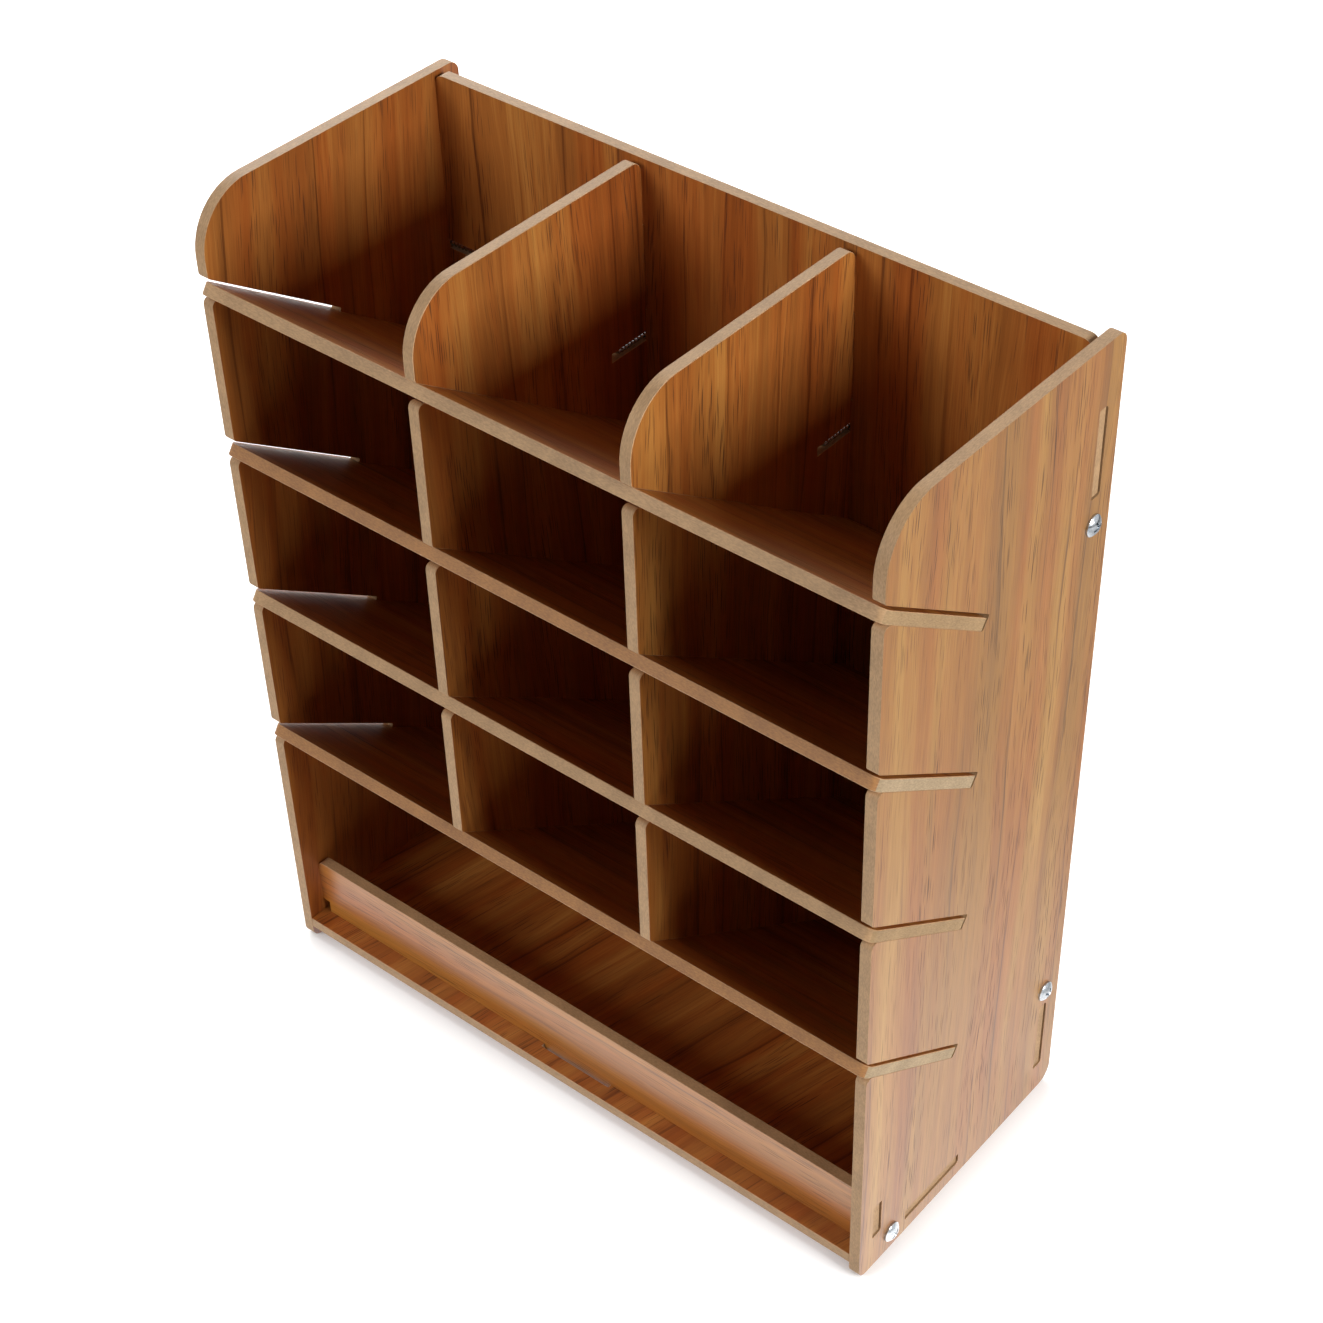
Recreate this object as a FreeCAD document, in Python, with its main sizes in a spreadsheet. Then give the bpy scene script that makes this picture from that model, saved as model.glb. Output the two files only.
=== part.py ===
# Desk pen holder: eleven flat boards that slot into each other, drawn tight by eight screws.
# Two side panels and two dividers stand upright. Four shelves slide into them from the front
# and fall towards the back panel, so that pens lie in the pigeonholes. Below the lowest shelf
# a bottom board and a front rail make an open tray.
# Millimetres. X runs across, Y from the front to the back, Z up. The origin is under the middle
# of the whole part, on the surface that it stands on.
import FreeCAD, Part
import Sketcher
import math
import os
import re

doc = FreeCAD.newDocument("PenHolder")

SIZES = {
    # overall, measured on the side panels
    "width": 250.0,                # across the outer faces of the side panels
    "depth": 110.0,                # side panels, front edge to rear edge
    "height": 305.0,               # side panels, foot to top
    "board": 4.0,                  # thickness of every board
    # shelves
    "slope": 35.0,                 # degrees by which a shelf falls towards the back
    "pocket_lip": 27.5,            # top of the side panels above the top shelf's front
    "tray_headroom": 20.4,         # lowest shelf's rear edge above the tray's floor
    "lap": 58.0,                   # how far a shelf lies in the side panels' slots, along its slope
    "lap_play": 0.8,               # how much deeper the slots are than that, and their ends' rounding
    "slot_gap": 1.2,               # how much wider a slot is than the board that slides in it
    "shelf_side_play": 0.3,        # a shelf's rear half to a side panel's inner face
    "shelf_rear_play": 0.5,        # a shelf's rear edge to the back panel
    # dividers
    "divider_spacing": 79.1,       # between the middles of the two dividers
    "notch_play": 0.4,             # how much wider a shelf's notch is than a divider
    # back panel, bottom board and front rail
    "back_inset": 6.7,             # back panel's rear face, in from the side panels' rear edges
    "back_drop": 0.7,              # back panel's top below the side panels' tops
    "base_level": 6.0,             # underside of the bottom board and foot of the back panel
    "rail_setback": 6.8,           # front rail, behind the side panels' front edges
    "rail_height": 23.6,           # front rail above the bottom board
    # tabs and their mortises
    "tab_length": 29.6,            # every long tab
    "tab_recess": 0.5,             # a tab's end below the far face of the board that it goes through
    "mortise_play": 0.4,           # gap at the far side and at an end of a mortise
    "upper_tab_drop": 22.0,        # back panel's upper tabs below the top of the side panels
    "lower_tab_rise": 6.4,         # back panel's lower tabs above its foot
    "rail_step_height": 4.9,       # front rail's end tabs above the bottom board
    "rail_step_width": 3.0,        # how far the step below those tabs runs in
    "rail_shoulder": 4.1,          # front rail's top above its end tabs
    # screws
    "screw_below_tab": 9.9,        # upper screws below the back panel's upper tabs
    "screw_above_tab": 7.7,        # lower screws above the back panel's lower tabs
    "screw_behind_rail": 6.2,      # front screws behind the front rail
    "tab_behind_screw": 8.0,       # bottom board's side tabs behind the front screws
    "screw_length": 18.0,          # under the head
    "screw_diameter": 3.0,         # over the thread
    "screw_point": 2.5,            # length of the tapered point
    "screw_end_room": 2.5,         # slot in a board's edge beyond the screw's point
    "hole_play": 0.3,              # screw hole wider than the screw
    "head_diameter": 7.2,
    "head_height": 2.3,
    "head_rim": 0.7,               # straight part of the head's edge, below the dome
    "recess_length": 3.8,          # cross recess in the head, end to end
    "recess_width": 0.8,
    "recess_depth": 1.3,
    # rounded corners
    "top_front_radius": 20.0,      # side panels and dividers
    "top_rear_radius": 4.0,        # the same
    "foot_rear_radius": 6.0,
    "foot_front_radius": 4.0,
    "mouth_radius": 2.0,           # where a slot opens at a front edge
    "back_corner_radius": 3.5,
    "rail_corner_radius": 2.5,
    "shelf_corner_radius": 2.8,    # front corners only
}

SHELVES = ["top_shelf", "second_shelf", "third_shelf", "lower_shelf"]

# Formulas of the sizes above that several boards share. Heights and setbacks are measured from
# the foot and the front edge of the side panels.
FRONT = "-(depth - board * sin(slope) / 2) / 2"            # side panels' front edge from the origin
INNER = "(width / 2 - board)"                              # middle to a side panel's inner face
BACK_FACE = "(depth - back_inset - board)"                 # back panel's front face
BACK_REAR = "(depth - back_inset)"                         # back panel's rear face
BACK_MIDDLE = "(depth - back_inset - board / 2)"
BACK_TOP = "(height - back_drop)"
FLOOR = "(base_level + board)"                             # tray's floor, the bottom board's top
BASE_MIDDLE = "(base_level + board / 2)"
RAIL_REAR = "(rail_setback + board)"
RAIL_TOP = f"({FLOOR} + rail_height)"

# A shelf's own length, and where its middle plane meets the side panels' front edge.
SHELF_LENGTH = f"(({BACK_FACE} - shelf_rear_play - board * sin(slope) / 2) / cos(slope))"
SHELF_RISE = "(board / 2 / cos(slope))"                    # upright, from its middle to its face
TOP_SHELF = f"(height - pocket_lip - {SHELF_RISE})"
LOWER_SHELF = f"({FLOOR} + tray_headroom + {SHELF_LENGTH} * sin(slope) + board / 2 * cos(slope))"
SHELF_PITCH = f"(({TOP_SHELF} - {LOWER_SHELF}) / {len(SHELVES) - 1})"
DROP = "(slot_gap / cos(slope))"                           # a divider hangs this much lower

UPPER_TAB_TOP = "(height - upper_tab_drop)"
LOWER_TAB_TOP = "(base_level + lower_tab_rise + tab_length)"
RAIL_TAB_TOP = f"({RAIL_TOP} - rail_shoulder)"
RAIL_TAB_FOOT = f"({FLOOR} + rail_step_height)"
UPPER_SCREW = f"({UPPER_TAB_TOP} - tab_length - screw_below_tab)"
LOWER_SCREW = f"({LOWER_TAB_TOP} + screw_above_tab)"
FRONT_SCREW = f"({RAIL_REAR} + screw_behind_rail)"
BASE_TAB = f"({FRONT_SCREW} + tab_behind_screw)"
FRONT_ROUND = "min(top_front_radius; pocket_lip - board)"   # ends above the topmost slot
TAB_REACH = "(width / 2 - tab_recess)"                     # middle to the end of a side tab
BACK_TAB_END = f"({BACK_REAR} - tab_recess)"               # end of a tab that goes into the back panel
MORTISE_ROUND = "(3.4 * mortise_play)"                     # clears a tab's square corner
SCREW_SLOT = "(screw_length - board + screw_end_room)"     # length of the slot in a board's edge

sizes = doc.addObject("Spreadsheet::Sheet", "sizes")
for row, (name, value) in enumerate(SIZES.items(), 1):
    sizes.set(f"A{row}", name)
    sizes.set(f"B{row}", str(value))
    sizes.setAlias(f"B{row}", name)
doc.recompute()

built = []


def value_of(formula):
    """The number that a formula of the sizes gives now."""
    return float(sizes.evalExpression(formula))


def bind(thing, prop, formula):
    """Ties a property to a formula of the sizes."""
    linked = re.sub(r"[a-z_]+", lambda word: f"sizes.{word[0]}" if word[0] in SIZES else word[0], formula)
    thing.setExpression(prop, linked)


def new_board(label, x="0", y="0", z="0"):
    """A body whose own origin sits at x, y, z, measured from the front edge and the foot."""
    body = doc.addObject("PartDesign::Body", label)
    body.Label = label
    bind(body, ".Placement.Base.x", x)
    bind(body, ".Placement.Base.y", f"{FRONT} + {y}")
    bind(body, ".Placement.Base.z", z)
    built.append(body)
    return body


def origin_of(body, role):
    """One of the body's own planes or axes."""
    return next(item for item in body.Origin.OriginFeatures if item.Role == role)


def new_sketch(body, plane, name):
    """An empty sketch on one of the body's own planes."""
    sketch = body.newObject("Sketcher::SketchObject", f"{body.Label}_{name}")
    sketch.AttachmentSupport = [(origin_of(body, plane), "")]
    sketch.MapMode = "FlatFace"
    return sketch


def hold(sketch, kind, places, formula):
    """A dimension of the sketch, tied to a formula."""
    number = sketch.addConstraint(Sketcher.Constraint(kind, *places, value_of(formula)))
    bind(sketch, f"Constraints[{number}]", formula)


def outline(sketch, corners, domed=False):
    """A closed outline whose corners sit at pairs of formulas.

    A domed one ends in an arc back to its first corner, level there, in place of a line."""
    first = sketch.GeometryCount
    points = [FreeCAD.Vector(value_of(across), value_of(up), 0) for across, up in corners]
    lines = [Part.LineSegment(points[i], points[(i + 1) % len(points)]) for i in range(len(points))]
    if domed:
        top, rim = points[0], points[-1]
        rise = top.y - rim.y
        radius = ((rim.x - top.x) ** 2 + rise ** 2) / (2 * rise)
        middle = FreeCAD.Vector(top.x, top.y - radius, 0)
        tilt = math.atan2(rim.y - middle.y, rim.x - middle.x)
        lines[-1] = Part.ArcOfCircle(Part.Circle(middle, FreeCAD.Vector(0, 0, 1), radius), tilt, math.pi / 2)
    sketch.addGeometry(lines, False)
    for i, (across, up) in enumerate(corners):
        sketch.addConstraint(
            Sketcher.Constraint("Coincident", first + i, 2, first + (i + 1) % len(corners), 1))
        hold(sketch, "DistanceX", (-1, 1, first + i, 1), across)
        hold(sketch, "DistanceY", (-1, 1, first + i, 1), up)
    if domed:
        sketch.addConstraint(Sketcher.Constraint("PointOnObject", first + len(corners) - 1, 3, -2))


def rectangle(sketch, left, right, low, high):
    """A rectangle between four formulas."""
    outline(sketch, [(left, low), (right, low), (right, high), (left, high)])


def circle(sketch, across, up, diameter):
    """A circle whose middle and width are formulas."""
    middle = FreeCAD.Vector(value_of(across), value_of(up), 0)
    number = sketch.addGeometry(Part.Circle(middle, FreeCAD.Vector(0, 0, 1), value_of(diameter) / 2), False)
    hold(sketch, "DistanceX", (-1, 1, number, 3), across)
    hold(sketch, "DistanceY", (-1, 1, number, 3), up)
    hold(sketch, "Diameter", (number,), diameter)


def pad(body, sketch):
    """Gives the sketch the thickness of the board, half to each side of its plane."""
    feature = body.newObject("PartDesign::Pad", f"{sketch.Name}_pad")
    feature.Profile = sketch
    feature.SideType = "Symmetric"
    bind(feature, "Length", "board")


def cut_through(body, sketch):
    """Cuts the sketch right through the board, both ways from its plane."""
    feature = body.newObject("PartDesign::Pocket", f"{sketch.Name}_cut")
    feature.Profile = sketch
    feature.Type = "ThroughAll"
    feature.SideType = "Symmetric"
    doc.recompute()
    return feature


def round_corners(body, along, places, radius):
    """Rounds the board's upright edges that run through the given places of its face."""
    doc.recompute()
    across = [axis for axis in range(3) if axis != along]
    wanted = [(value_of(first), value_of(second)) for first, second in places]
    edges = []
    for number, edge in enumerate(body.Tip.Shape.Edges, 1):
        ends = [(vertex.Point[across[0]], vertex.Point[across[1]]) for vertex in edge.Vertexes]
        if any(all(abs(end[0] - spot[0]) + abs(end[1] - spot[1]) < 0.001 for end in ends) for spot in wanted):
            edges.append(f"Edge{number}")
    if len(edges) != len(places):
        raise RuntimeError(f"{body.Label}: {len(edges)} of {len(places)} corners found")
    last = body.Tip
    feature = body.newObject("PartDesign::Fillet", f"{body.Label}_round")
    feature.Base = (last, edges)
    bind(feature, "Radius", radius)


def shelf_middle(number):
    """Where a shelf's middle plane meets the front edge, counted from the top shelf, number 0."""
    return f"({TOP_SHELF} - {number} * {SHELF_PITCH})"


def slot_corner(number, along, above):
    """Where a point of a shelf's slot lies on the board, from its place along and above the slope."""
    return (f"({along}) * cos(slope) + ({above}) * sin(slope)",
            f"{shelf_middle(number)} - ({along}) * sin(slope) + ({above}) * cos(slope)")


def slots(body, count):
    """Slanted slots for the shelves, open at the front, with rounded mouths and ends."""
    sketch = new_sketch(body, "YZ_Plane", "slot")
    bind(sketch, ".AttachmentOffset.Base.y", shelf_middle(0))
    bind(sketch, ".AttachmentOffset.Rotation.Angle", "-slope")
    rectangle(sketch, "-2 * board", "lap + lap_play", "-board / 2", "board / 2 + slot_gap")
    slot = cut_through(body, sketch)
    pattern = body.newObject("PartDesign::LinearPattern", f"{body.Label}_slots")
    pattern.Originals = [slot]
    pattern.Direction = (origin_of(body, "Z_Axis"), [""])
    pattern.Reversed = True
    pattern.Mode = "Spacing"
    pattern.Occurrences = count
    bind(pattern, "Offset", SHELF_PITCH)
    body.Tip = pattern
    mouths = []
    ends = []
    for number in range(count):
        mouths.append(("0", f"{shelf_middle(number)} - {SHELF_RISE}"))
        mouths.append(("0", f"{shelf_middle(number)} + {SHELF_RISE} + {DROP}"))
        ends.append(slot_corner(number, "lap + lap_play", "-board / 2"))
        ends.append(slot_corner(number, "lap + lap_play", "board / 2 + slot_gap"))
    round_corners(body, 0, mouths, "mouth_radius")
    round_corners(body, 0, ends, "lap_play")


def side_panel(label, side):
    """Upright board of one side; side is 1 at the right and -1 at the left."""
    body = new_board(label, x=f"{side} * (width / 2 - board / 2)")
    profile = new_sketch(body, "YZ_Plane", "profile")
    rectangle(profile, "0", "depth", "0", "height")
    pad(body, profile)
    round_corners(body, 0, [("0", "height")], FRONT_ROUND)
    round_corners(body, 0, [("depth", "height")], "top_rear_radius")
    round_corners(body, 0, [("depth", "0")], "foot_rear_radius")
    round_corners(body, 0, [("0", "0")], "foot_front_radius")
    slots(body, len(SHELVES))

    mortises = new_sketch(body, "YZ_Plane", "mortises")
    rounded = []
    for front, rear, foot, top, room in (
            (BACK_FACE, BACK_REAR, f"{UPPER_TAB_TOP} - tab_length", UPPER_TAB_TOP, "mortise_play"),
            (BACK_FACE, BACK_REAR, f"{LOWER_TAB_TOP} - tab_length", LOWER_TAB_TOP, "mortise_play"),
            (BASE_TAB, f"{BASE_TAB} + tab_length", "base_level", FLOOR, "0"),
            ("rail_setback", RAIL_REAR, RAIL_TAB_FOOT, RAIL_TAB_TOP, "0")):
        far = f"{rear} + mortise_play"
        low = f"{foot} - mortise_play"
        high = f"{top} + {room}"
        rectangle(mortises, front, far, low, high)
        rounded.append((far, low))
        if room != "0":
            rounded.append((far, high))
    cut_through(body, mortises)
    round_corners(body, 0, rounded, MORTISE_ROUND)

    holes = new_sketch(body, "YZ_Plane", "screw_holes")
    for level in (UPPER_SCREW, LOWER_SCREW):
        circle(holes, BACK_MIDDLE, level, "screw_diameter + hole_play")
    circle(holes, FRONT_SCREW, BASE_MIDDLE, "screw_diameter + hole_play")
    cut_through(body, holes)


def divider(label, side):
    """Upright board inside: a side panel cut off along the lowest slot, hung on the shelves."""
    body = new_board(label, x=f"{side} * divider_spacing / 2", z=f"-{DROP}")
    seat = f"{shelf_middle(len(SHELVES) - 1)} + {SHELF_RISE} + {DROP}"
    profile = new_sketch(body, "YZ_Plane", "profile")
    outline(profile, [
        ("0", seat),
        (BACK_FACE, f"{seat} - {BACK_FACE} * tan(slope)"),
        (BACK_FACE, f"{UPPER_TAB_TOP} - tab_length"),
        (BACK_TAB_END, f"{UPPER_TAB_TOP} - tab_length"),
        (BACK_TAB_END, UPPER_TAB_TOP),
        (BACK_FACE, UPPER_TAB_TOP),
        (BACK_FACE, "height"),
        ("0", "height")])
    pad(body, profile)
    round_corners(body, 0, [("0", "height")], FRONT_ROUND)
    round_corners(body, 0, [(BACK_FACE, "height")], "top_rear_radius")
    round_corners(body, 0, [("0", seat)], "mouth_radius")
    slots(body, len(SHELVES) - 1)

    screw_slot = new_sketch(body, "YZ_Plane", "screw_slot")
    rectangle(screw_slot, f"{BACK_FACE} - {SCREW_SLOT}", BACK_REAR,
              f"{UPPER_SCREW} - screw_diameter / 2", f"{UPPER_SCREW} + screw_diameter / 2")
    cut_through(body, screw_slot)


def shelf(label, number):
    """Slanted board: full width in the side panels' slots, narrower behind them."""
    body = new_board(label, z=shelf_middle(number))
    body.Placement.Rotation = FreeCAD.Rotation(FreeCAD.Vector(1, 0, 0), -value_of("slope"))
    bind(body, ".Placement.Rotation.Angle", "-slope")
    half_back = f"({INNER} - shelf_side_play)"
    profile = new_sketch(body, "XY_Plane", "profile")
    outline(profile, [
        ("-width / 2", "0"),
        ("width / 2", "0"),
        ("width / 2", "lap"),
        (half_back, "lap"),
        (half_back, SHELF_LENGTH),
        (f"-{half_back}", SHELF_LENGTH),
        (f"-{half_back}", "lap"),
        ("-width / 2", "lap")])
    pad(body, profile)
    round_corners(body, 2, [(f"{side} * width / 2", "0") for side in (-1, 1)], "shelf_corner_radius")
    if number == len(SHELVES) - 1:
        return
    notches = new_sketch(body, "XY_Plane", "notches")
    for side in (-1, 1):
        middle = f"{side} * divider_spacing / 2"
        half = "(board + notch_play) / 2"
        rectangle(notches, f"{middle} - {half}", f"{middle} + {half}",
                  f"lap + {DROP} * sin(slope)", f"{SHELF_LENGTH} + board")
    cut_through(body, notches)


def back_panel():
    """Upright board between the side panels, held by two tabs and two screws at each side."""
    body = new_board("back_panel", y=BACK_MIDDLE)
    profile = new_sketch(body, "XZ_Plane", "profile")
    rectangle(profile, f"-{INNER}", INNER, "base_level", BACK_TOP)
    pad(body, profile)
    round_corners(body, 1, [(f"{side} * {INNER}", BACK_TOP) for side in (-1, 1)], "back_corner_radius")
    tabs = new_sketch(body, "XZ_Plane", "tabs")
    for top in (UPPER_TAB_TOP, LOWER_TAB_TOP):
        rectangle(tabs, INNER, TAB_REACH, f"{top} - tab_length", top)
        rectangle(tabs, f"-{TAB_REACH}", f"-{INNER}", f"{top} - tab_length", top)
    pad(body, tabs)

    openings = new_sketch(body, "XZ_Plane", "mortises")
    for side in (-1, 1):
        middle = f"{side} * divider_spacing / 2"
        half = "(board + mortise_play) / 2"
        rectangle(openings, f"{middle} - {half}", f"{middle} + {half}",
                  f"{UPPER_TAB_TOP} - tab_length - {DROP} - mortise_play", f"{UPPER_TAB_TOP} - {DROP}")
    rectangle(openings, "-tab_length / 2 - mortise_play / 2", "tab_length / 2 + mortise_play / 2",
              "base_level - board", FLOOR)
    for level in (UPPER_SCREW, LOWER_SCREW):
        low = f"{level} - screw_diameter / 2"
        high = f"{level} + screw_diameter / 2"
        rectangle(openings, f"{INNER} - {SCREW_SLOT}", f"{INNER} + board", low, high)
        rectangle(openings, f"-{INNER} - board", f"-{INNER} + {SCREW_SLOT}", low, high)
    cut_through(body, openings)

    holes = new_sketch(body, "XZ_Plane", "screw_holes")
    for side in (-1, 1):
        circle(holes, f"{side} * divider_spacing / 2", f"{UPPER_SCREW} - {DROP}",
               "screw_diameter + hole_play")
    cut_through(body, holes)


def bottom_board():
    """Floor of the tray: tabs into the side panels and the back panel, a mortise for the rail."""
    body = new_board("bottom_board", z=BASE_MIDDLE)
    profile = new_sketch(body, "XY_Plane", "profile")
    rectangle(profile, f"-{INNER}", INNER, "0", BACK_FACE)
    pad(body, profile)
    tabs = new_sketch(body, "XY_Plane", "tabs")
    rectangle(tabs, INNER, TAB_REACH, BASE_TAB, f"{BASE_TAB} + tab_length")
    rectangle(tabs, f"-{TAB_REACH}", f"-{INNER}", BASE_TAB, f"{BASE_TAB} + tab_length")
    rectangle(tabs, "-tab_length / 2", "tab_length / 2", BACK_FACE, BACK_TAB_END)
    pad(body, tabs)

    openings = new_sketch(body, "XY_Plane", "openings")
    rectangle(openings, "-tab_length / 2 - mortise_play / 2", "tab_length / 2 + mortise_play / 2",
              "rail_setback - slot_gap", RAIL_REAR)
    near = f"{FRONT_SCREW} - screw_diameter / 2"
    far = f"{FRONT_SCREW} + screw_diameter / 2"
    rectangle(openings, f"{INNER} - {SCREW_SLOT}", f"{INNER} + board", near, far)
    rectangle(openings, f"-{INNER} - board", f"-{INNER} + {SCREW_SLOT}", near, far)
    cut_through(body, openings)


def front_rail():
    """Lip of the tray, standing on the bottom board."""
    body = new_board("front_rail", y="rail_setback + board / 2")
    profile = new_sketch(body, "XZ_Plane", "profile")
    rectangle(profile, f"-{INNER}", INNER, FLOOR, RAIL_TOP)
    pad(body, profile)
    round_corners(body, 1, [(f"{side} * {INNER}", RAIL_TOP) for side in (-1, 1)], "rail_corner_radius")
    tabs = new_sketch(body, "XZ_Plane", "tabs")
    rectangle(tabs, INNER, TAB_REACH, RAIL_TAB_FOOT, RAIL_TAB_TOP)
    rectangle(tabs, f"-{TAB_REACH}", f"-{INNER}", RAIL_TAB_FOOT, RAIL_TAB_TOP)
    rectangle(tabs, "-tab_length / 2", "tab_length / 2", "base_level + tab_recess", FLOOR)
    pad(body, tabs)
    steps = new_sketch(body, "XZ_Plane", "steps")
    rectangle(steps, f"{INNER} - rail_step_width", INNER, FLOOR, RAIL_TAB_FOOT)
    rectangle(steps, f"-{INNER}", f"-{INNER} + rail_step_width", FLOOR, RAIL_TAB_FOOT)
    cut_through(body, steps)


def screw(label, x, y, z, axis, turn):
    """Pan-head screw with a cross recess; turn points its shank, which lies along its own -Z."""
    body = new_board(label, x, y, z)
    body.Placement.Rotation = FreeCAD.Rotation(axis, turn)
    half = new_sketch(body, "XZ_Plane", "half")
    outline(half, [
        ("0", "head_height"),
        ("0", "-screw_length"),
        ("screw_diameter / 2", "-screw_length + screw_point"),
        ("screw_diameter / 2", "0"),
        ("head_diameter / 2", "0"),
        ("head_diameter / 2", "head_rim")], domed=True)
    turned = body.newObject("PartDesign::Revolution", f"{label}_turned")
    turned.Profile = half
    turned.ReferenceAxis = (half, ["V_Axis"])
    turned.Angle = 360

    cross = new_sketch(body, "XY_Plane", "cross")
    bind(cross, ".AttachmentOffset.Base.z", "head_height")
    arm = "recess_length / 2"
    web = "recess_width / 2"
    outline(cross, [
        (f"-{web}", f"-{arm}"), (web, f"-{arm}"), (web, f"-{web}"), (arm, f"-{web}"),
        (arm, web), (web, web), (web, arm), (f"-{web}", arm),
        (f"-{web}", web), (f"-{arm}", web), (f"-{arm}", f"-{web}"), (f"-{web}", f"-{web}")])
    recess = body.newObject("PartDesign::Pocket", f"{label}_recess")
    recess.Profile = cross
    bind(recess, "Length", "recess_depth")


side_panel("right_side_panel", 1)
side_panel("left_side_panel", -1)
divider("left_divider", -1)
divider("right_divider", 1)
for number, label in enumerate(SHELVES):
    shelf(label, number)
back_panel()
bottom_board()
front_rail()

ALONG_X = FreeCAD.Vector(1, 0, 0)
ALONG_Y = FreeCAD.Vector(0, 1, 0)
for hand, side in (("right", 1), ("left", -1)):
    face = f"{side} * width / 2"
    screw(f"{hand}_upper_screw", face, BACK_MIDDLE, UPPER_SCREW, ALONG_Y, side * 90)
    screw(f"{hand}_lower_screw", face, BACK_MIDDLE, LOWER_SCREW, ALONG_Y, side * 90)
    screw(f"{hand}_front_screw", face, FRONT_SCREW, BASE_MIDDLE, ALONG_Y, side * 90)
    screw(f"{hand}_divider_screw", f"{side} * divider_spacing / 2", BACK_REAR,
          f"{UPPER_SCREW} - {DROP}", ALONG_X, -90)

doc.recompute()
for item in doc.Objects:
    if "Invalid" in item.State or "Error" in item.State:
        raise RuntimeError(f"{item.Label} failed: {item.State}")
os.makedirs("parts", exist_ok=True)
for body in built:
    if body.Shape.isNull() or not body.Shape.isValid() or len(body.Shape.Solids) != 1:
        raise RuntimeError(f"{body.Label} is not one valid solid")
    body.Shape.exportStep(f"parts/{body.Label}.step")
    box = body.Shape.BoundBox
    print(f"{body.Label}: {body.Shape.Volume:.1f} mm3, X {box.XMin:.2f} {box.XMax:.2f}, "
          f"Y {box.YMin:.2f} {box.YMax:.2f}, Z {box.ZMin:.2f} {box.ZMax:.2f}")
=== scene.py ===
# Desk pen holder: eleven boards of teak-print laminated fibreboard, slotted together and drawn
# tight by eight zinc-plated screws. The boards come first, in the order in which the object is
# put together, then the screws, and then the floor, the light and the camera.
# Metres, with the origin on the floor under the middle of the object.
from math import cos, radians, sin, sqrt, tau

import bmesh
import bpy
from mathutils import Matrix, Vector


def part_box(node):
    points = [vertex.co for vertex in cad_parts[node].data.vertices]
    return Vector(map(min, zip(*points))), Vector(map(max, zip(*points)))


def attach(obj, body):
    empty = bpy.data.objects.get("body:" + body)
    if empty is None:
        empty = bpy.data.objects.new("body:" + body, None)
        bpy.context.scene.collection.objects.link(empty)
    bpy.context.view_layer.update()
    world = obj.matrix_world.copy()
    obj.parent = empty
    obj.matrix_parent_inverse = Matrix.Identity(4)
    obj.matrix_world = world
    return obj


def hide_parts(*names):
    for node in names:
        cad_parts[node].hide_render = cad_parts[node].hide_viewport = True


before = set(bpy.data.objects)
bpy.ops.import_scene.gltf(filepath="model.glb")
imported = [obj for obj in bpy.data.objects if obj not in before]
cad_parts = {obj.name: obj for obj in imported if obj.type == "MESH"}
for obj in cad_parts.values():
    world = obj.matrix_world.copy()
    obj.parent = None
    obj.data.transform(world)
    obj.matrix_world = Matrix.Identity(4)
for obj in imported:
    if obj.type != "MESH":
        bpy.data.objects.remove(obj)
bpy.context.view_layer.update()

# Side panels. Full-height boards of 4 mm medium-density fibreboard (MDF) with a printed teak
# laminate pressed on both faces. The outline, slots and mortises are routed after the laminate
# is on, so every edge is bare fibreboard between two thin broken arrises of laminate.
MM = 0.001
ARRIS = 0.16 * MM                # width of the broken corner between a face and an edge
MERGE = 0.001 * MM
FLAT = radians(0.5)              # faces that turn less than this are one face
CORNER = radians(40)             # sharper turns than this are corners, softer ones are arcs
CREASE = radians(25)             # softer turns along a routed edge are shaded as round
UP = Vector((0, 0, 1))
ACROSS = Vector((1, 0, 0))
TO_BACK = Vector((0, 1, 0))


def linear(hex_value):
    """An sRGB hex value as the linear colour that a shader socket takes."""
    shares = [int(hex_value[at:at + 2], 16) / 255 for at in (1, 3, 5)]
    bright = [share / 12.92 if share <= 0.04045 else ((share + 0.055) / 1.055) ** 2.4 for share in shares]
    return bright + [1]


def add(tree, kind, sockets, **settings):
    """Adds a node with its settings; sockets pairs an input with a value or another node's output."""
    made = tree.nodes.new(f"ShaderNode{kind}")
    for setting, value in settings.items():
        setattr(made, setting, value)
    for socket, value in sockets.items():
        if isinstance(value, bpy.types.NodeSocket):
            tree.links.new(value, made.inputs[socket])
        else:
            made.inputs[socket].default_value = value
    return made


def new_material(name):
    """An empty material and its tree."""
    material = bpy.data.materials.new(name)
    material.use_nodes = True
    material.node_tree.nodes.clear()
    return material, material.node_tree


def finish_material(tree, **sockets):
    """A Principled shader with those sockets, joined to the material's output."""
    named = {name.replace("_", " "): value for name, value in sockets.items()}
    shader = add(tree, "BsdfPrincipled", named)
    add(tree, "OutputMaterial", {"Surface": shader.outputs[0]})


def set_ramp(ramp_node, stops):
    """Sets a colour ramp to stops of a position and a colour."""
    elements = ramp_node.color_ramp.elements
    while len(elements) < len(stops):
        elements.new(0.5)
    for element, (position, colour) in zip(elements, stops):
        element.position = position
        element.color = colour


def place_on_board(tree, rows):
    """The place in millimetres across, along and through the board; rows turn the object's axes."""
    place = add(tree, "TexCoord", {}).outputs["Object"]
    return add(tree, "Mapping", {"Vector": place, "Rotation": Matrix(rows).to_euler(),
                                 "Scale": (1 / MM, 1 / MM, 1 / MM)}).outputs[0]


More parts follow.
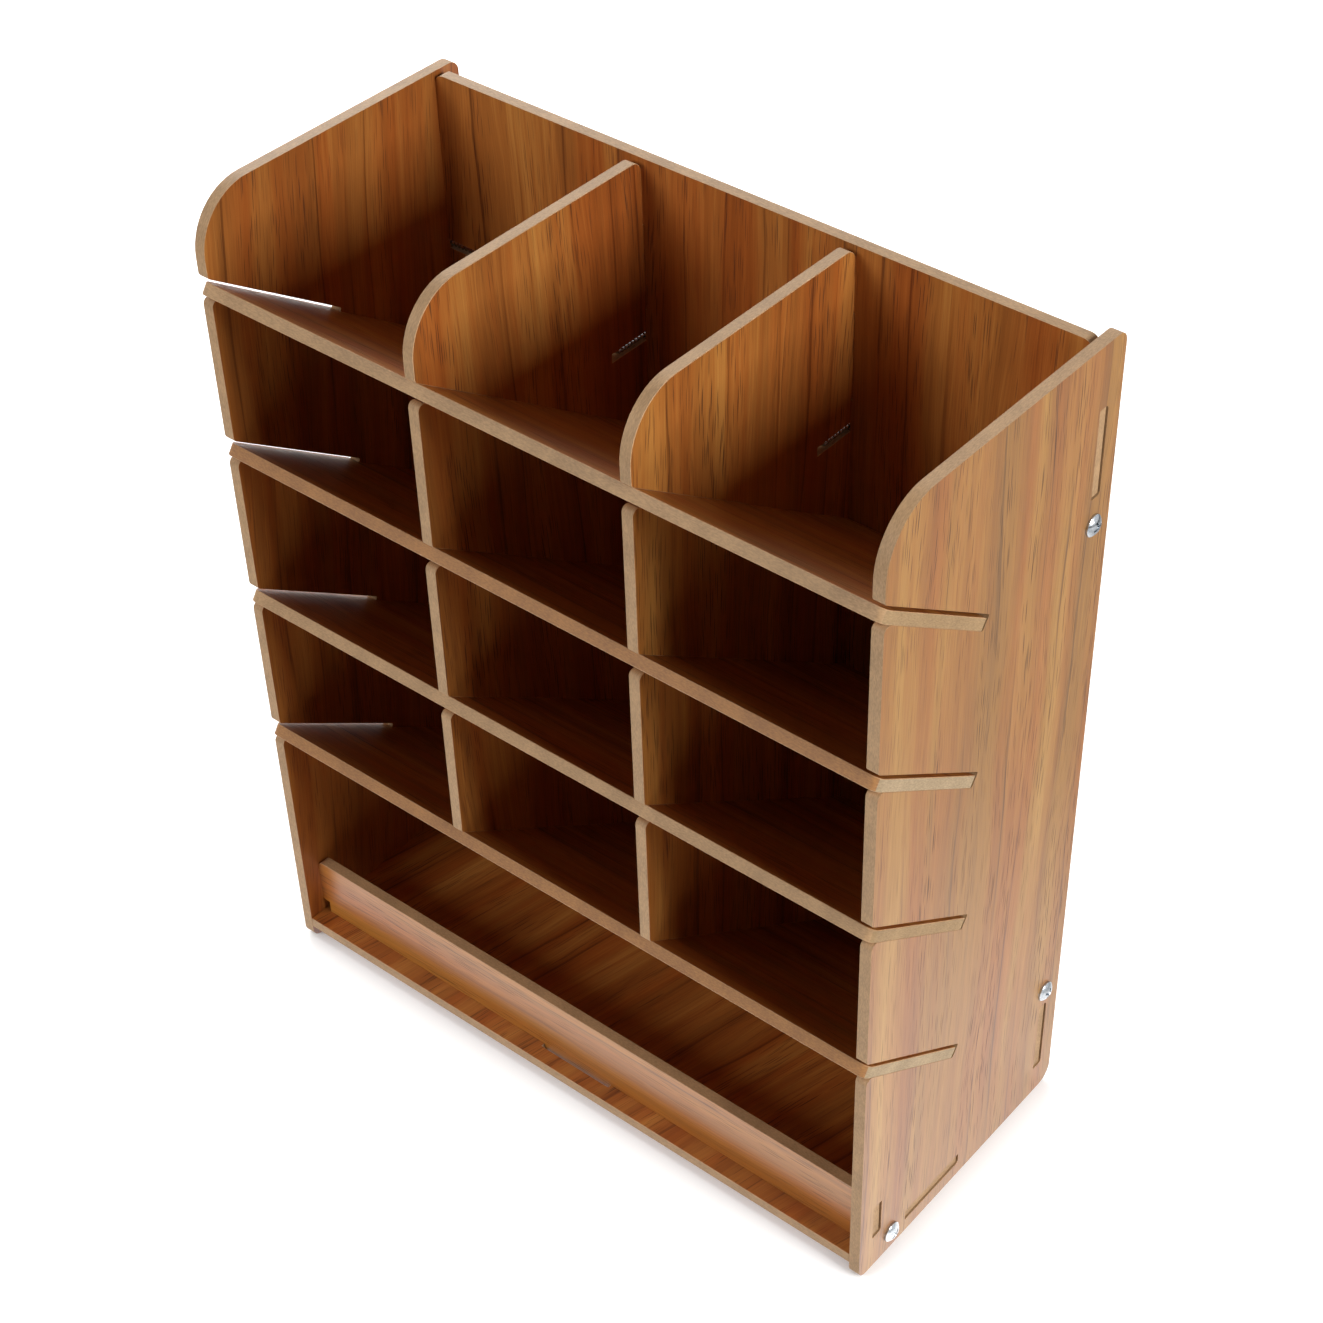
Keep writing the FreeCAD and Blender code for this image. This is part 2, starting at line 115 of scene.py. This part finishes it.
def spread(tree, place, across, along, output="Fac"):
    """Noise whose grains are so many millimetres across the wood and along it."""
    stretched = add(tree, "Mapping", {"Vector": place, "Scale": (1 / across, 1 / along, 1)}).outputs[0]
    return add(tree, "TexNoise", {"Vector": stretched, "Scale": 1.0}).outputs[output]


# Teak-print melamine laminate: a photographic print of flat-sawn teak under a clear satin resin.
# It gives golden and reddish bands, thin wavy growth lines that fade to one side, and crowds of
# hair-thin dark pores along the grain. The real pores are 0.25 mm wide; they are drawn wider.
TEAK = ("#71401A", "#A4662D", "#C58C45")        # dark, middle and light wood of the print
# The right side panel's print is paler and flatter. This is partly its own tone and partly painted light,
# standing in for the strong light and sheen on its outer face.
PALE_TEAK = ("#754E21", "#A06F2E", "#BA8D47")
BRIGHT_TEAK = ("#77431C", "#AD6B2F", "#CF9248")
# The front rail's print is more orange, which is its own tone. It is also lighter, as painted light standing
# in for the light from the front that falls on it.
ORANGE_TEAK = ("#855320", "#B5762D", "#D29545")
TEAK_STOPS = (0.14, 0.5, 0.8)                   # where on the scale of tones those three lie
RED_WOOD = "#F5DACD"                            # the golden tones times this are the reddish ones
PORE_COLOUR = "#42210F"
SWAY = (46, 210, 16)             # a gentle bend of the grain: its width, length and reach, in millimetres
WOBBLE = (7, 45, 1.6)
BAND = (17, 380)                 # width and length of a patch, in millimetres, here and below
STREAK = (2.4, 120)
FIBRE = (0.5, 32)
RED_BAND = (12, 280)
GROWTH = (30, 380)
GROWTH_CROWD = (12, 160)
PORE_CROWD = (9, 130)
PRINTED = ((BAND, 0.7), (STREAK, 0.35), (FIBRE, 0.35))     # each with its weight in the tone
GROWTH_WEIGHT = -0.42
GROWTH_SPACING = 12              # millimetres between two growth lines where the sheet is even
GROWTH_STRAY = 1.7
GROWTH_FADE = ((0, 0.45), (0.02, 0.1), (0.5, 0.0), (0.86, 0.25), (0.93, 0.4), (0.955, 1.0))
PORES = ((0.8, 26, 0.17), (1.7, 60, 0.1))       # cell width and length, and a dash's share of it
PORE_INK = 0.85
SATIN = 0.34                     # roughness of the resin, and where it sinks into a printed pore
SUNKEN = 0.5


def teak_laminate(name, rows, cut, lean, tones):
    """The print. Rows turn the object's axes to across, along and through the wood, and cut and
    lean say from where on the sheet, and how far from straight, the board is cut."""
    material, tree = new_material(name)
    wavy = add(tree, "Mapping", {"Vector": place_on_board(tree, rows), "Location": (*cut, 0),
                                 "Rotation": (0, 0, lean)}).outputs[0]
    for width, length, reach in (SWAY, WOBBLE):
        drift = spread(tree, wavy, width, length, "Color")
        wavy = add(tree, "VectorMath", {0: drift, 1: (reach, 0, 0), 2: wavy},
                   operation="MULTIPLY_ADD").outputs[0]

    across = add(tree, "SeparateXYZ", {0: wavy}).outputs[0]
    turns = add(tree, "Math", {0: across, 1: 1 / GROWTH_SPACING}, operation="MULTIPLY").outputs[0]
    stray = add(tree, "Math", {0: spread(tree, wavy, *GROWTH), 1: GROWTH_STRAY, 2: turns},
                operation="MULTIPLY_ADD").outputs[0]
    ring = add(tree, "Math", {0: stray}, operation="FRACT").outputs[0]
    fade = add(tree, "ValToRGB", {"Fac": ring})
    set_ramp(fade, [(position, (grey, grey, grey, 1)) for position, grey in GROWTH_FADE])
    strength = add(tree, "MapRange", {"Value": spread(tree, wavy, *GROWTH_CROWD), "From Min": 0.44,
                                      "From Max": 0.62, "To Min": 0.08, "To Max": 1.0}).outputs[0]
    lines = add(tree, "Math", {0: fade.outputs[0], 1: strength}, operation="MULTIPLY").outputs[0]

    tone = 0.5 - sum(weight for size, weight in PRINTED) / 2
    patterns = [(spread(tree, wavy, *size), weight) for size, weight in PRINTED]
    for pattern, weight in (*patterns, (lines, GROWTH_WEIGHT)):
        tone = add(tree, "Math", {0: pattern, 1: weight, 2: tone}, operation="MULTIPLY_ADD").outputs[0]
    wood = add(tree, "ValToRGB", {"Fac": tone})
    set_ramp(wood, [(position, linear(colour)) for position, colour in zip(TEAK_STOPS, tones)])
    red = add(tree, "MapRange", {"Value": spread(tree, wavy, *RED_BAND), "From Min": 0.4,
                                 "From Max": 0.62}).outputs[0]
    tinted = add(tree, "Mix", {0: red, 6: wood.outputs[0], 7: linear(RED_WOOD)}, data_type="RGBA",
                 blend_type="MULTIPLY").outputs[2]

    crowd = add(tree, "MapRange", {"Value": spread(tree, wavy, *PORE_CROWD), "From Min": 0.42,
                                   "From Max": 0.62, "To Min": 0.2}).outputs[0]
    pores = 0.0
    for width, length, share in PORES:
        cells = add(tree, "Mapping", {"Vector": wavy, "Scale": (1 / width, 1 / length, 1)}).outputs[0]
        near = add(tree, "TexVoronoi", {"Vector": cells, "Scale": 1.0}, voronoi_dimensions="2D")
        dash = add(tree, "MapRange", {"Value": near.outputs["Distance"], "From Min": share * 0.6,
                                      "From Max": share * 1.25, "To Min": 1.0, "To Max": 0.0},
                   interpolation_type="SMOOTHSTEP").outputs[0]
        pores = add(tree, "Math", {0: dash, 1: pores}, operation="MAXIMUM").outputs[0]
    pores = add(tree, "Math", {0: pores, 1: crowd}, operation="MULTIPLY").outputs[0]
    ink = add(tree, "Math", {0: pores, 1: PORE_INK}, operation="MULTIPLY").outputs[0]
    colour = add(tree, "Mix", {0: ink, 6: tinted, 7: linear(PORE_COLOUR)}, data_type="RGBA").outputs[2]

    satin = add(tree, "MapRange", {"Value": pores, "To Min": SATIN, "To Max": SUNKEN}).outputs[0]
    relief = add(tree, "Bump", {"Strength": 0.2, "Distance": 0.02 * MM, "Height": pores}, invert=True)
    finish_material(tree, Base_Color=colour, Roughness=satin, IOR=1.5, Normal=relief.outputs[0])
    return material


# Routed fibreboard edge: bare pressed wood fibre the colour of cardboard, quite matt. It gives an
# almost even tan, with faint streaks along the edge where the pressed layers come to light.
BARE = ("#987855", "#B8936A")
# Edge tones of the shelves. A board's front edges and its other edges are the same fibreboard, so giving them
# two tones is painted light and sheen; the difference between boards is partly their own tone.
BROWN_FRONT_TONES = ("#8A5F39", "#AA7846")
DARK_END_TONES = ("#8C704D", "#A98960")
PALE_END_TONES = ("#957F61", "#B49B79")
ARRIS_TONES = ("#AF865D", "#C7A077")
FIBRE_STOPS = (0.36, 0.64)
LAYER = 0.35                     # thickness and length of a streak, in millimetres
LAYER_LENGTH = 1.2
CLOUD = 9                        # width of a patch that is a little darker or lighter
CLOUD_SHARE = 0.4


def routed_edge(name, rows, tones):
    """Bare fibreboard between two tones; rows turn the object's axes so that Z crosses the layers."""
    material, tree = new_material(name)
    place = place_on_board(tree, rows)
    flat = add(tree, "Mapping", {"Vector": place, "Scale": (1 / LAYER_LENGTH, 1 / LAYER_LENGTH,
                                                            1 / LAYER)}).outputs[0]
    layers = add(tree, "TexNoise", {"Vector": flat, "Scale": 1.0}).outputs["Fac"]
    clouds = add(tree, "TexNoise", {"Vector": place, "Scale": 1 / CLOUD}).outputs["Fac"]
    mixed = add(tree, "Mix", {0: CLOUD_SHARE, 2: layers, 3: clouds}, data_type="FLOAT").outputs[0]
    tone = add(tree, "ValToRGB", {"Fac": mixed})
    set_ramp(tone, [(position, linear(colour)) for position, colour in zip(FIBRE_STOPS, tones)])
    relief = add(tree, "Bump", {"Strength": 0.3, "Distance": 0.03 * MM, "Height": layers})
    finish_material(tree, Base_Color=tone.outputs[0], Roughness=0.62, IOR=1.45, Normal=relief.outputs[0])
    return material


def finish_of(normal, facing):
    """Which of a board's materials a face has: 0 laminate, 1 arris, 2 edge, 3 edge turned to the front."""
    turned = abs(normal.dot(facing))
    if turned > 0.95:
        return 0
    if turned > 0.3:
        return 1
    return 3 if normal.y < -0.5 else 2


def board(node, grain, cut, lean=0, tones=TEAK, front=BARE, ends=BARE):
    """A dressed board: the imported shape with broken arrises, laminate on its two faces only."""
    shape = bmesh.new()
    shape.from_mesh(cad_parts[node].data)
    bmesh.ops.remove_doubles(shape, verts=shape.verts, dist=MERGE)
    bmesh.ops.dissolve_limit(shape, angle_limit=FLAT, verts=shape.verts, edges=shape.edges)
    facing = max(shape.faces, key=lambda face: face.calc_area()).normal.copy()
    if sum(facing) < 0:
        facing.negate()
    broken = [edge for edge in shape.edges if edge.is_convex and edge.calc_face_angle() > CORNER]
    bmesh.ops.bevel(shape, geom=broken, offset=ARRIS, offset_type="OFFSET", affect="EDGES", segments=1,
                    profile=0.5, material=-1, clamp_overlap=True)
    for face in shape.faces:
        face.material_index = finish_of(face.normal, facing)
    mesh = bpy.data.meshes.new(f"laminated_{node}")
    shape.to_mesh(mesh)
    shape.free()
    mesh.set_sharp_from_angle(angle=CREASE)
    # The laminated faces are flat, so only the routed edges are shaded as round.
    for face in mesh.polygons:
        face.use_smooth = face.material_index > 0
    rows = (grain.cross(facing), grain, facing)
    mesh.materials.append(teak_laminate(f"teak_laminate_{node}", rows, cut, lean, tones))
    for part, shades in (("arris", ARRIS_TONES), ("edge", ends), ("front_edge", front)):
        mesh.materials.append(routed_edge(f"fibreboard_{part}_{node}", rows, shades))
    piece = bpy.data.objects.new(f"laminated_{node}", mesh)
    bpy.context.scene.collection.objects.link(piece)
    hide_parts(node)
    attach(piece, "root")


board("right_side_panel", UP, (0, 0), radians(1), PALE_TEAK)
board("left_side_panel", UP, (310, 90), radians(4))

# Back panel. One upright board between the side panels, let into their mortises by two tabs at
# each side, with its own mortises for the dividers' tabs.
board("back_panel", UP, (-500, 95), radians(-1), BRIGHT_TEAK)

# Bottom board. It lies 6 mm above the table between the side panels and is the tray's floor.
# Its grain runs from front to back, so the lip in front of the rail shows it cut short.
board("bottom_board", TO_BACK, (-420, 30), radians(12))

# Front rail. A low strip that stands on the bottom board and keeps things in the tray. Its grain
# runs across.
board("front_rail", ACROSS, (95, 480), 0, ORANGE_TEAK)

# Dividers. Two upright boards that stand on the lowest shelf, cross the other three in half-lap
# notches and split the rows in three. Each has a tab and a screw in the back panel.
board("left_divider", UP, (-130, 310), radians(-2))
board("right_divider", UP, (-260, -140), radians(2))

# Shelves. Four boards pushed into the slots from the front, falling 35 degrees to the back, with
# the grain across. The lowest one has no notches. Two of them have browner front edges and paler
# other edges, and the other two slightly darker ends. A board's fronts and ends are the same
# fibreboard, so these tones are partly the boards' own tone and partly painted light and sheen.
board("top_shelf", ACROSS, (520, 210), ends=DARK_END_TONES)
board("second_shelf", ACROSS, (180, -330), front=BROWN_FRONT_TONES, ends=PALE_END_TONES)
board("third_shelf", ACROSS, (-340, 150), ends=DARK_END_TONES)
board("lower_shelf", ACROSS, (760, 400), front=BROWN_FRONT_TONES, ends=PALE_END_TONES)

# Screws. Self-tapping pan-head screws of steel with a bright zinc plating, 18 mm under the head,
# with a cross recess. Three go through each side panel and one through the back panel into each
# divider. Their threads show where a slot is cut through the board that holds them.
HEAD_RADIUS = 3.6 * MM
HEAD_HEIGHT = 2.27 * MM
HEAD_RIM = 0.7 * MM              # height of the head's upright rim, below its dome
HEAD_CREASE = radians(32)        # softer turns than this are shaded as round
HEAD_STEPS = 40
RECESS_REACH = 1.9 * MM
RECESS_HALF_WIDTH = 0.42 * MM
RECESS_DEPTH = 1.3 * MM
RECESS_TAPER = 0.6               # size of the recess's floor as a share of its mouth
SHANK_LENGTH = 18 * MM
POINT_LENGTH = 2.5 * MM
CREST_RADIUS = 1.48 * MM
CORE_RADIUS = 1.02 * MM
PITCH = 1.5 * MM
THREAD = ((0, CORE_RADIUS), (0.28, CREST_RADIUS), (0.36, CREST_RADIUS), (0.64, CORE_RADIUS), (1, CORE_RADIUS))
STEPS = 20                       # facets in one turn of the thread
TIP_WIDTH = 0.08                 # share of the thread's width that is left at the tip
CRYSTAL = 0.6 * MM


def zinc_plating():
    """Bright zinc: a pale, faintly blue metal whose fine crystals blur what it reflects."""
    material, tree = new_material("bright_zinc_plating")
    place = add(tree, "TexCoord", {}).outputs["Object"]
    crystals = add(tree, "TexNoise", {"Vector": place, "Scale": 1 / CRYSTAL}).outputs["Fac"]
    tone = add(tree, "ValToRGB", {"Fac": crystals})
    set_ramp(tone, [(0.3, linear("#A3A9B0")), (0.7, linear("#C3C7CA"))])
    blur = add(tree, "MapRange", {"Value": crystals, "To Min": 0.1, "To Max": 0.26}).outputs[0]
    finish_material(tree, Base_Color=tone.outputs[0], Metallic=1.0, Roughness=blur)
    return material


zinc = zinc_plating()


def chain(shape, points):
    """Vertices at those radii and heights in the XZ plane, with the edges that join them."""
    made = [shape.verts.new((radius, 0, height)) for radius, height in points]
    return made + [shape.edges.new(pair) for pair in zip(made, made[1:])]


def open_edges(shape, inside):
    """The edges that have one face only and whose middle passes the test inside."""
    return [edge for edge in shape.edges
            if edge.is_boundary and inside((edge.verts[0].co + edge.verts[1].co) / 2)]


def threaded_shank(shape):
    """A helical thread below the head that runs out in a tapered point."""
    turns = int((SHANK_LENGTH + 2 * PITCH) / PITCH) + 1
    start = PITCH * 1.5
    flank = [(radius, start - share * PITCH) for share, radius in THREAD]
    bmesh.ops.spin(shape, geom=chain(shape, flank), cent=(0, 0, 0), axis=(0, 0, 1),
                   dvec=(0, 0, -PITCH / STEPS), angle=tau * turns, steps=STEPS * turns, use_merge=False)
    bmesh.ops.remove_doubles(shape, verts=shape.verts, dist=MERGE)
    for vertex in shape.verts:
        left = (SHANK_LENGTH + vertex.co.z) / POINT_LENGTH
        vertex.co.xy *= min(1, max(TIP_WIDTH, left))
    for height, up in ((0, 1), (-SHANK_LENGTH, -1)):
        everything = [*shape.verts, *shape.edges, *shape.faces]
        bmesh.ops.bisect_plane(shape, geom=everything, plane_co=(0, 0, height), plane_no=(0, 0, up),
                               dist=MERGE, clear_outer=True)
    tip = open_edges(shape, lambda middle: middle.z < -SHANK_LENGTH / 2)
    bmesh.ops.holes_fill(shape, edges=tip)


def pan_head(shape):
    """A head on the shank, domed like a ball of radius dome, with its cross recess pressed in."""
    rising = HEAD_HEIGHT - HEAD_RIM
    dome = (HEAD_RADIUS ** 2 + rising ** 2) / (2 * rising)
    radii = [HEAD_RADIUS * share for share in (1, 0.97, 0.9, 0.78, 0.62, 0.42, 0.2, 0)]
    curve = [(radius, HEAD_HEIGHT - dome + sqrt(dome ** 2 - radius ** 2)) for radius in radii]
    bmesh.ops.spin(shape, geom=chain(shape, [(HEAD_RADIUS, 0), *curve]), cent=(0, 0, 0), axis=(0, 0, 1),
                   dvec=(0, 0, 0), angle=tau, steps=HEAD_STEPS, use_merge=True)
    bmesh.ops.remove_doubles(shape, verts=shape.verts, dist=MERGE)
    for axis in (Vector((1, 0, 0)), Vector((0, 1, 0))):
        for distance in (-RECESS_REACH, -RECESS_HALF_WIDTH, RECESS_HALF_WIDTH, RECESS_REACH):
            top = [face for face in shape.faces if face.calc_center_median().z > HEAD_RIM]
            corners = {vertex for face in top for vertex in face.verts}
            sides = {edge for face in top for edge in face.edges}
            bmesh.ops.bisect_plane(shape, geom=[*corners, *sides, *top], plane_co=axis * distance,
                                   plane_no=axis, dist=MERGE)
    pressed = []
    for face in shape.faces:
        middle = face.calc_center_median()
        near, far = sorted((abs(middle.x), abs(middle.y)))
        if middle.z > HEAD_RIM and near < RECESS_HALF_WIDTH and far < RECESS_REACH:
            pressed.append(face)
    bmesh.ops.delete(shape, geom=pressed, context="FACES")
    mouth = open_edges(shape, lambda middle: middle.z > HEAD_RIM)
    walls = bmesh.ops.extrude_edge_only(shape, edges=mouth)["geom"]
    floor_corners = [item for item in walls if isinstance(item, bmesh.types.BMVert)]
    for vertex in floor_corners:
        vertex.co.xy *= RECESS_TAPER
        vertex.co.z = HEAD_HEIGHT - RECESS_DEPTH
    bmesh.ops.holes_fill(shape, edges=[item for item in walls if isinstance(item, bmesh.types.BMEdge)])
    rim = open_edges(shape, lambda middle: abs(middle.z) < MERGE)
    bmesh.ops.triangle_fill(shape, edges=rim, normal=(0, 0, -1))


def screw(node, out, turn):
    """A screw in a node's place; out points from its tip to its head, turn turns its recess."""
    shape = bmesh.new()
    threaded_shank(shape)
    pan_head(shape)
    bmesh.ops.recalc_face_normals(shape, faces=shape.faces)
    low, high = (Vector(corner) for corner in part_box(node))
    seat = (low + high) / 2
    head_top = max(low.dot(out), high.dot(out))
    seat += out * (head_top - seat.dot(out) - HEAD_HEIGHT)
    aimed = out.to_track_quat("Z", "Y").to_matrix().to_4x4()
    place = Matrix.Translation(seat) @ aimed @ Matrix.Rotation(turn, 4, "Z")
    bmesh.ops.transform(shape, matrix=place, verts=shape.verts)
    mesh = bpy.data.meshes.new(f"zinc_{node}")
    shape.to_mesh(mesh)
    shape.free()
    mesh.set_sharp_from_angle(angle=HEAD_CREASE)
    mesh.materials.append(zinc)
    piece = bpy.data.objects.new(f"zinc_{node}", mesh)
    bpy.context.scene.collection.objects.link(piece)
    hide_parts(node)
    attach(piece, "root")


for hand, side in (("right", 1), ("left", -1)):
    for level, turn in (("upper", 20), ("lower", 65), ("front", 38)):
        screw(f"{hand}_{level}_screw", side * ACROSS, radians(turn * side))
    screw(f"{hand}_divider_screw", TO_BACK, radians(12 + 30 * side))

# Floor. A plain pale surface, larger than any view of the object. The camera sees it close to
# white, with the object's shadow on it, cast by the lamps and deepened by a painted contact shadow
# where ambient occlusion dims its glow, and quite white far off, where it meets the surround.
# Reflections see a bright glowing pool on it in front of the object, a painted reflection that
# lights nothing, which is what puts a pale veil on the feet of the glossy faces.
FLOOR_HALF = 4.0
FLOOR_SEEN = 0.72                # share of the near floor's white that glows on its own, dimmed only by the painted contact shadow
NEAR_FLOOR = 0.5
FAR_FLOOR = 1.5
POOL_MIDDLE = (0.02, -0.2, 0)
POOL_REACH = 0.44
POOL_BRIGHT = 3.0
UNDER = 0.012                    # painted contact shadow: the floor's glow dims where something stands this close above it
outline = bmesh.new()
bmesh.ops.create_grid(outline, x_segments=1, y_segments=1, size=FLOOR_HALF)
floor_mesh = bpy.data.meshes.new("floor")
outline.to_mesh(floor_mesh)
outline.free()
floor = bpy.data.objects.new("floor", floor_mesh)
bpy.context.scene.collection.objects.link(floor)
paper, tree = new_material("white_paper")
path = add(tree, "LightPath", {})
place = add(tree, "TexCoord", {}).outputs["Object"]
apart = add(tree, "VectorMath", {0: place, 1: POOL_MIDDLE}, operation="DISTANCE").outputs["Value"]
# The pool glows only for reflections and lights nothing: a painted reflection.
pool = add(tree, "MapRange", {"Value": apart, "From Max": POOL_REACH, "To Min": POOL_BRIGHT,
                              "To Max": 0.0}).outputs[0]
# Ambient occlusion dims the glow that the camera sees under and beside the object: a painted contact shadow.
painted_shadow_occlusion = add(tree, "AmbientOcclusion", {"Distance": UNDER}, samples=8).outputs["AO"]
share = add(tree, "MapRange", {"Value": apart, "From Min": NEAR_FLOOR, "From Max": FAR_FLOOR,
                               "To Min": FLOOR_SEEN, "To Max": 1.0}).outputs[0]
seen = add(tree, "Math", {0: painted_shadow_occlusion, 1: share}, operation="MULTIPLY").outputs[0]
mirrored = add(tree, "Math", {0: path.outputs["Is Glossy Ray"], 1: path.outputs["Is Transmission Ray"]},
               operation="MAXIMUM").outputs[0]
shine = add(tree, "Math", {0: pool, 1: mirrored}, operation="MULTIPLY").outputs[0]
glow = add(tree, "Mix", {0: path.outputs["Is Camera Ray"], 2: shine, 3: seen}, data_type="FLOAT").outputs[0]
matt = add(tree, "BsdfDiffuse", {"Color": linear("#D9D9D9")})
lit = add(tree, "Emission", {"Color": linear("#FFFFFF"), "Strength": glow})
both = add(tree, "AddShader", {0: matt.outputs[0], 1: lit.outputs[0]})
add(tree, "OutputMaterial", {"Surface": both.outputs[0]})
floor_mesh.materials.append(paper)

# Light. A very dim even surround that the camera and reflections see as white, and five square
# soft boxes around the object, from 22 to 30 degrees up: the light skims into the pockets from
# both sides and leaves them dark below.
SURROUND = 0.01
world = bpy.data.worlds.new("surround")
world.use_nodes = True
bpy.context.scene.world = world
tree = world.node_tree
tree.nodes.clear()
path = add(tree, "LightPath", {})
seen = add(tree, "Math", {0: path.outputs["Is Camera Ray"], 1: path.outputs["Is Glossy Ray"]},
           operation="MAXIMUM")
direct = add(tree, "Math", {0: seen.outputs[0], 1: path.outputs["Is Transmission Ray"]}, operation="MAXIMUM")
strength = add(tree, "Mix", {0: direct.outputs[0], 2: SURROUND, 3: 1.0}, data_type="FLOAT")
sky = add(tree, "Background", {"Color": linear("#FFFFFF"), "Strength": strength.outputs[0]})
add(tree, "OutputWorld", {"Surface": sky.outputs[0]})

AIM = Vector((0, 0, 0.15))
BOX_SIZE = 0.5
BOX_DISTANCE = 1.3


def soft_box(name, azimuth, elevation, watts):
    """A square soft box that faces the object. Azimuth 0 is in front of it, 90 on its right."""
    lamp = bpy.data.lights.new(name, "AREA")
    lamp.shape = "SQUARE"
    lamp.size = BOX_SIZE
    lamp.energy = watts
    stand = bpy.data.objects.new(name, lamp)
    around, above = radians(azimuth), radians(elevation)
    towards = Vector((sin(around) * cos(above), -cos(around) * cos(above), sin(above)))
    stand.location = AIM + towards * BOX_DISTANCE
    stand.rotation_mode = "QUATERNION"
    stand.rotation_quaternion = towards.to_track_quat("Z", "Y")
    bpy.context.scene.collection.objects.link(stand)


soft_box("right_box", 90, 26, 15.5)
soft_box("left_box", -90, 22, 4.3)
soft_box("left_rear_box", -120, 25, 9.8)
soft_box("rear_box", -150, 30, 4)
soft_box("front_box", -20, 28, 8.3)

# Camera. It stands at the height and side from which the object is pictured.
camera_data = bpy.data.cameras.new("camera")
camera_data.lens = 71.85
camera_data.sensor_width = 36
camera_data.shift_x = -0.0912
camera_data.shift_y = 0.0371
camera = bpy.data.objects.new("camera", camera_data)
camera.location = (0.4181, -0.4786, 0.6979)
camera.rotation_euler = (radians(48.58), radians(-0.27), radians(37.74))
bpy.context.scene.collection.objects.link(camera)
bpy.context.scene.camera = camera
bpy.context.scene.view_settings.view_transform = "Standard"
